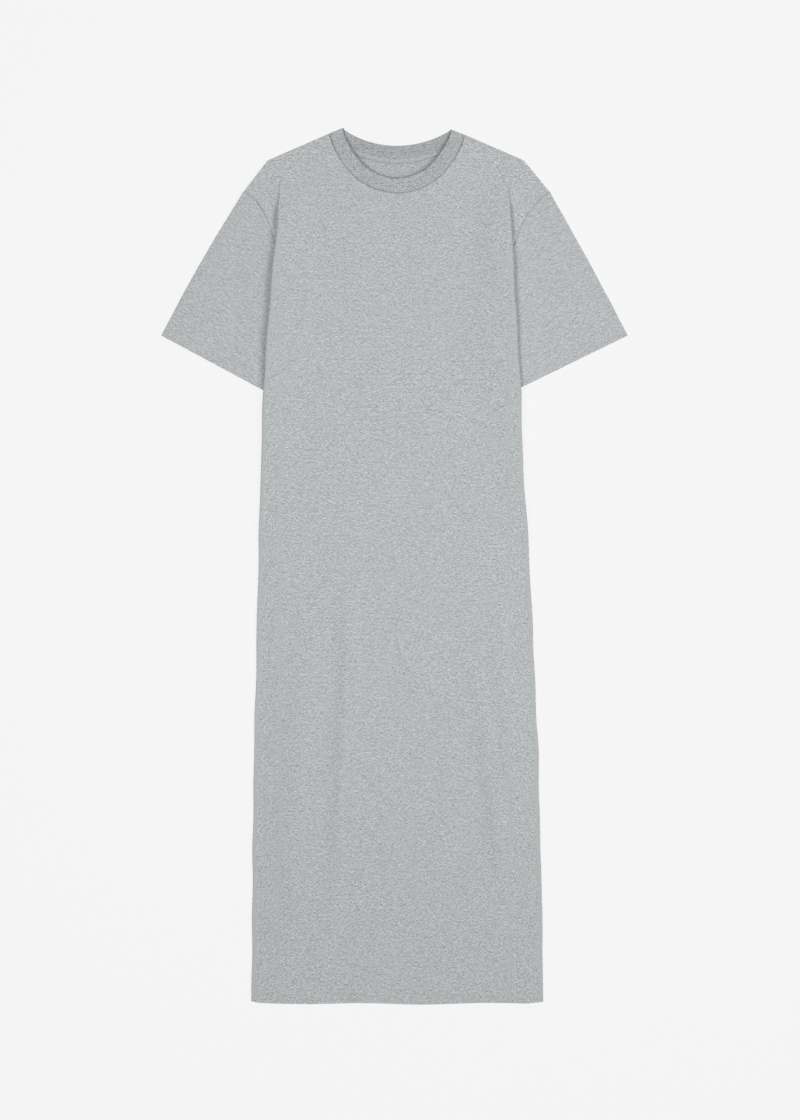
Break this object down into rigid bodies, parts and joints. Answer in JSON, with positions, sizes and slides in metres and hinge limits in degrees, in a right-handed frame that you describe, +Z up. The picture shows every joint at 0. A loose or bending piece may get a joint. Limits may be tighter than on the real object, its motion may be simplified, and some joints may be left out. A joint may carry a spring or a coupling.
{
  "type": "t-shirt dress",
  "caption": "Long, straight T-shirt dress in heather grey jersey, laid flat on its back, with a ribbed crew neck and wide short sleeves tucked behind the body's sides.",
  "frame": {"origin": "centre of the laid garment's length and width, on the surface that it lies on", "axes": "+X to the viewer's right across the dress, +Y from hem to neck, +Z up out of the front"},
  "size_m": [0.699, 1.315, 0.0102],
  "materials": {
    "jersey": "matt cotton jersey, heather grey with fine crosswise flecks",
    "rib": "matt cotton rib knit, a darker heather grey",
    "tape": "matt cotton jersey tape, heather grey"
  },
  "bodies": {
    "root": {"front_panel": "jersey", "back_panel": "jersey", "sleeve_left": "jersey", "sleeve_right": "jersey", "neck_rib": "rib", "neck_tape": "tape"}
  },
  "joints": []
}
